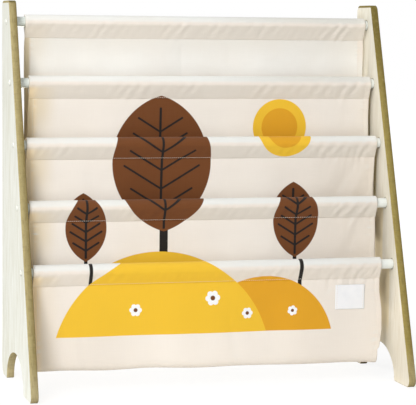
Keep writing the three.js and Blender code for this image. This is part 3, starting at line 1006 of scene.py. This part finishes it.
def cloth_strip(back_row):
    """One sling: the sleeve on its back rod, the panel under it, the pocket's bottom and the
    front panel, which ends behind the next row's stitches or in a sleeve of its own."""
    front_row = back_row + 1
    is_last = front_row == LAST_ROW
    back_y, back_z = RODS[back_row]
    front_y, front_z = RODS[front_row]
    if not is_last:
        front_y = front_y + REAR_STEP
    seam_back = back_z - STITCH_DROP
    seam_front = front_z - STITCH_DROP
    curve_z = front_z - POCKET_DROP + BOTTOM_CURVE
    back_length = seam_back - curve_z
    front_length = seam_front - curve_z
    depth = BOTTOM_CURVE - CLOTH / 2
    curve_length = math.pi * (depth + (back_y - RODS[front_row][0]) / 2) / 2
    whole = back_length + curve_length + front_length
    x_back, x_front = across_row(back_row), across_row(front_row)

    def place(run):
        return x_back + (x_front - x_back) * np.clip(run / whole, 0, 1)

    def edge_shift(x, drop):
        if not is_last:
            return x
        closeness = ramp(x_front[-1] - x, EDGE_REACH, 0)
        return x + closeness * np.interp(drop, EDGE_DROPS, EDGE_SHIFTS)

    def layers_at(x):
        """The back panel's layers, with those that its hems and turned edge add."""
        panel, turned = (0, 1.0) if back_row == 0 else (BACK_LAYERS, 0.5)
        from_left = x - LEFT_EDGES[back_row]
        edge = ramp(from_left, TURNED_WIDTH + HEM_BLEND, TURNED_WIDTH - HEM_BLEND)
        return panel + HEM_SHARE * (1 - panel) + turned * edge

    strip = Strip()
    add_sleeve(strip, back_row, False)
    drops = np.linspace(STEP, back_length, round(back_length / STEP))
    for drop in np.concatenate([[FIRST_DROP], drops]):
        x = place(drop)
        strip.add(x, back_y + panel_relief(back_row, x, drop), seam_back - drop,
                  hem_far=HEM_EXTRA, print_near=drop < PRINT_RUN, layers=layers_at(x))

    bottom_wave = waves(BOTTOM_WAVES, back_row, ACROSS, 0 * ACROSS)
    lift = np.interp(ACROSS, (ACROSS[0], ACROSS[-1]), BOTTOM_LIFTS) if is_last else 0
    steps = round(curve_length / STEP)
    curve = pocket_curve(steps, LAST_POCKET_POWER if is_last else 1)
    for i in range(1, steps):
        across_share, down_share = curve[i]
        share = i / steps
        x = place(back_length + curve_length * i / steps)
        y_back = back_y + panel_relief(back_row, x, back_length)
        y_front = front_y + panel_relief(front_row, x, front_length)
        y = (y_back + y_front) / 2 + (y_back - y_front) / 2 * across_share
        sag = (depth + BOTTOM_WAVE_DEPTH * bottom_wave - lift) * down_share
        shifted = edge_shift(x, EDGE_DROPS[-1] * min(1, 2 * share))
        strip.add(shifted, y, curve_z - sag, hem_far=HEM_EXTRA * (1 - share),
                  hem_near=HEM_EXTRA * share, print_far=is_last, layers=FRONT_LAYERS)

    sewn = LIPS[front_row] - STITCH_INSET
    last_drop = FIRST_DROP if is_last else 0
    drops = np.linspace(front_length, last_drop, round(front_length / STEP))
    drops[np.argmin(np.abs(drops - sewn))] = sewn
    for drop in drops:
        x = edge_shift(place(whole - drop), drop)
        y = front_y + panel_relief(front_row, x, drop)
        strip.add(x, y, seam_front - drop, hem_near=HEM_EXTRA, print_far=is_last,
                  layers=FRONT_LAYERS + HEM_LAYERS * HEM_SHARE,
                  stitched="near" if drop == sewn and not is_last else "")
    if is_last:
        add_sleeve(strip, front_row, True)
    else:
        add_rear_edge(strip, front_row)
    return strip


def hem_relief(run):
    """How far the cloth's face stands out in the hems, with a groove at the stitches."""
    inward = FROM_EDGE[:, None]
    pucker = waves(HEM_PUCKERS, 0, run[None, :], 0 * inward, count=6)
    near = bell(inward - HEM_WIDTH, PUCKER_WIDTH)
    groove = bell(inward - HEM_STITCHES, GROOVE_WIDTH)
    return RIM_DEPTH * HEM_SHARE[:, None] - GROOVE_DEPTH * groove + PUCKER_DEPTH * near * pucker


def surface_normals(grid):
    normal = np.cross(np.gradient(grid, axis=1), np.gradient(grid, axis=0))
    return normal / np.linalg.norm(normal, axis=2, keepdims=True)


def shell_faces(width, length):
    """Faces of a closed shell: the near side's grid, then the far side's, then the rims."""
    size = width * length
    index = np.arange(size).reshape(width, length)
    a, b, c, d = index[:-1, :-1], index[:-1, 1:], index[1:, 1:], index[1:, :-1]
    front = np.stack([a, b, c, d], 2).reshape(-1, 4)
    back = np.stack([a, d, c, b], 2).reshape(-1, 4) + size
    rims = []
    for line, flip in ((index[0, :], False), (index[-1, :], True),
                       (index[:, 0], True), (index[:, -1], False)):
        p, q = line[:-1], line[1:]
        quad = np.stack([q, p, p + size, q + size], 1)
        rims.append(quad[:, ::-1] if flip else quad)
    return np.vstack([front, back, *rims]).tolist()


def stitch_mesh(lines):
    """Short stitches that dip into the cloth at their ends, along lines of points on its face.
    Each line has its points and the outward directions there."""
    points, faces, count = [], [], 0
    rings = len(STITCH_SHARES)
    around = np.arange(STITCH_SIDES) * 2 * math.pi / STITCH_SIDES
    arch = (np.sin(math.pi * STITCH_SHARES) * STITCH_ARCH * STITCH_RADIUS
            - STITCH_SUNK * STITCH_RADIUS)
    swell = np.sin(math.pi * (STITCH_SHARES * 0.9 + 0.05))
    radius = (STITCH_RADIUS * np.sqrt(np.clip(swell, 0.1, 1)))[:, None]
    rise = (radius * np.cos(around))[None, :, :, None]
    reach = (radius * np.sin(around))[None, :, :, None]
    for line, outward in lines:
        run = np.concatenate([[0], np.cumsum(np.linalg.norm(np.diff(line, axis=0), axis=1))])
        number = int(run[-1] // STITCH_PITCH)
        starts = (np.arange(number) + STITCH_START) * STITCH_PITCH
        at = starts[:, None] + STITCH_SHARES * STITCH_LENGTH
        centre = np.stack([np.interp(at, run, line[:, k]) for k in range(3)], 2)
        up = np.stack([np.interp(at, run, outward[:, k]) for k in range(3)], 2)
        side = np.cross(np.gradient(centre, axis=1), up)
        side = side / np.linalg.norm(side, axis=2, keepdims=True)
        centre = centre + up * arch[None, :, None]
        ring = centre[:, :, None] + up[:, :, None] * rise + side[:, :, None] * reach
        size = number * rings * STITCH_SIDES
        index = count + np.arange(size).reshape(number, rings, STITCH_SIDES)
        after = np.roll(index, -1, axis=2)
        quads = np.stack([index[:, :-1], after[:, :-1], after[:, 1:], index[:, 1:]], 3)
        faces += quads.reshape(-1, 4).tolist()
        faces += index[:, 0, ::-1].tolist() + index[:, -1].tolist()
        points.append(ring.reshape(-1, 3))
        count += size
    return np.vstack(points), faces


def point_values(*parts):
    """Three values for each point of a grid."""
    return np.stack(np.broadcast_arrays(*parts), 2).reshape(-1, 3)


def make_sling(back_row, material, thread):
    strip = cloth_strip(back_row)
    grid = strip.grid()
    middle = len(ACROSS) // 2
    run = np.concatenate([[0], np.cumsum(np.linalg.norm(np.diff(grid[middle], axis=0), axis=1))])
    normal = surface_normals(grid)
    loose = strip.table("loose")
    relief = hem_relief(run) * np.where(loose, 1, SLEEVE_HEM_SHARE)
    near, far = [strip.table(side) + strip.table("hem_" + side) * HEM_SHARE[:, None] + relief
                 for side in SIDES]
    near_face = grid + normal * near[:, :, None]
    far_face = grid - normal * far[:, :, None]
    flat_x = ACROSS[:, None] * MM
    prints = [point_values(flat_x, grid[:, :, 2] * MM, strip.table("print_" + side))
              for side in SIDES]
    weave = point_values(flat_x, run * MM, strip.table("layers").T)
    attributes = {"picture": np.vstack(prints), "weave": np.vstack([weave, weave])}
    points = np.vstack([near_face.reshape(-1, 3), far_face.reshape(-1, 3)])
    piece = new_piece(f"cloth_sling_{back_row + 1}", points, shell_faces(*grid.shape[:2]),
                      "canvas", material, attributes)
    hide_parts(f"sling_{back_row + 1}")

    stitched = strip.table("stitched")
    lines = [(far_face[:, j], -normal[:, j]) for j in np.flatnonzero(stitched == "far")]
    lines += [(near_face[:, j], normal[:, j]) for j in np.flatnonzero(stitched == "near")]
    hem_rows = np.flatnonzero(loose)
    from_stitches = np.abs(FROM_EDGE - HEM_STITCHES)
    for i in (np.argmin(from_stitches[:middle]), middle + np.argmin(from_stitches[middle:])):
        lines.append((near_face[i, hem_rows], normal[i, hem_rows]))
        lines.append((far_face[i, hem_rows], -normal[i, hem_rows]))
    stitches = new_piece(f"stitches_sling_{back_row + 1}", *stitch_mesh(lines), "canvas", thread)


def make_label(material, thread):
    rod_y, rod_z = RODS[LAST_ROW]
    width, height = LABEL_SIZE
    middle = LABEL_LEFT + width / 2
    x = np.linspace(LABEL_LEFT, LABEL_LEFT + width, LABEL_GRID[0])[:, None]
    top = rod_z - LABEL_DROP
    z = np.linspace(top, top - height, LABEL_GRID[1])[None, :]
    drop = rod_z - STITCH_DROP - z
    reliefs = [panel_relief(LAST_ROW, x + shift, drop) for shift in LABEL_SMOOTHING]
    cloth = rod_y + np.mean(reliefs, axis=0)
    bulge = LABEL_BULGE * np.cos((x - middle) / (width / 2) * math.pi / 2)
    top_gap = LABEL_TOP_GAP * np.exp(-(drop - drop.min()) / LABEL_TOP_REACH)
    y = cloth - CLOTH / 2 - LABEL_GAP - bulge - top_gap
    grid = np.stack(np.broadcast_arrays(x, y, z), 2)
    normal = surface_normals(grid)
    face = grid + normal * LABEL_THICKNESS / 2
    back = grid - normal * LABEL_THICKNESS / 2
    points = np.vstack([face.reshape(-1, 3), back.reshape(-1, 3)])
    piece = new_piece("blank_woven_label", points, shell_faces(*y.shape), "label", material)
    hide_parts("woven_label")
    lines = [(face[i], normal[i]) for i in LABEL_STITCH_COLUMNS]
    stitches = new_piece("stitches_label", *stitch_mesh(lines), "label", thread)


SHARP_ANGLE = math.radians(32)
WELD_DISTANCE = 0.00001


def dress_cad_nodes():
    """Gives the CAD nodes materials, and smooth shading that stops at their sharp edges."""
    finishes = {
        "side_panel": side_wood_finish(),
        "rod": rod_finish(),
        "bolt": bolt_finish(),
        "insert": insert_finish(),
    }
    for name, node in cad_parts.items():
        for part, material in finishes.items():
            if part in name:
                mesh = node.data
                mesh.materials.clear()
                mesh.materials.append(material)
                node.modifiers.new("weld", "WELD").merge_threshold = WELD_DISTANCE
                node.modifiers.new("split", "EDGE_SPLIT").split_angle = SHARP_ANGLE
                mesh.polygons.foreach_set("use_smooth", [True] * len(mesh.polygons))


canvas = canvas_finish()
thread = thread_finish()
for back_row in range(LAST_ROW):
    make_sling(back_row, canvas, thread)
make_label(label_finish(), thread)
dress_cad_nodes()


# Stage

FLOOR_REACH = 12
FLOOR_COLOUR = (0.87, 0.87, 0.86, 1)
GLOW_NEAR = 0.78
GLOW_STRENGTH = 1.08
GLOW_RAMP = (0.5, 1.3)
ROOM_LIGHT = 0.35
LAMPS = (
    # name, place, aim, size, power, colour
    ("key", (-1.5, -1.9, 2.1), (0, 0, 0.3), 1.3, 27.5, (1, 0.99, 0.97)),
    ("front_left", (-1.7, -2.5, 1.0), (0, 0, 0.3), 1.0, 29, (1, 1, 0.99)),
    ("left_top", (-1.0, 0.2, 2.3), (0, 0, 0.4), 1.2, 13, (0.95, 1, 1.05)),
    ("left", (-2.6, -0.7, 0.9), (0, 0, 0.3), 1.0, 4.4, (1, 1, 0.98)),
    ("low_front", (0.2, -2.6, 0.5), (0, 0, 0.3), 1.6, 4, (1, 1, 1)),
    ("warm_back", (-0.12, 0.95, 0.24), (0.28, 0, 0.2), 0.3, 4, (1, 0.92, 0.76)),
)


def area_light(name, place, target, size, power, colour):
    data = bpy.data.lights.new(name, "AREA")
    data.shape = "DISK"
    data.size = size
    data.energy = power
    data.color = colour
    light = add_object(name, data)
    light.location = place
    direction = Vector(target) - Vector(place)
    light.rotation_euler = direction.to_track_quat("-Z", "Y").to_euler()


def make_floor():
    """A pale floor that looks white away from the object and keeps the shadow near it."""
    mesh = bpy.data.meshes.new("floor")
    far = FLOOR_REACH
    corners = [(-far, -far, 0), (far, -far, 0), (far, far, 0), (-far, far, 0)]
    mesh.from_pydata(corners, [], [(0, 1, 2, 3)])
    floor = add_object("floor", mesh)
    finish = Finish("pale_floor", Roughness=0.9, Base_Color=FLOOR_COLOUR)
    glow = finish.node("ShaderNodeEmission")
    glow.inputs["Strength"].default_value = GLOW_STRENGTH
    x, y, _ = finish.parts(finish.position())
    share = length_of(x, y).ramp(*GLOW_RAMP) * (1 - GLOW_NEAR) + GLOW_NEAR
    seen = Number(finish.tree, finish.node("ShaderNodeLightPath").outputs["Is Camera Ray"])
    mixer = finish.node("ShaderNodeMixShader")
    (seen * share).plug(mixer.inputs[0])
    finish.link(finish.shader.outputs[0], mixer.inputs[1])
    finish.link(glow.outputs[0], mixer.inputs[2])
    finish.link(mixer.outputs[0], finish.tree.nodes["Material Output"].inputs["Surface"])
    mesh.materials.append(finish.material)


def make_world():
    """Even light from all sides, which looks white to the camera and in reflections."""
    world = bpy.data.worlds.new("studio")
    bpy.context.scene.world = world
    world.use_nodes = True
    tree = world.node_tree
    background = tree.nodes["Background"]
    background.inputs["Color"].default_value = (1, 1, 1, 1)
    path = tree.nodes.new("ShaderNodeLightPath")
    seen = Number(tree, path.outputs["Is Camera Ray"])
    for kind in ("Is Glossy Ray", "Is Transmission Ray"):
        seen = seen.most(Number(tree, path.outputs[kind]))
    (seen * (1 - ROOM_LIGHT) + ROOM_LIGHT).plug(background.inputs["Strength"])


make_floor()
make_world()
for lamp in LAMPS:
    area_light(*lamp)
bpy.context.scene.view_settings.view_transform = "Standard"
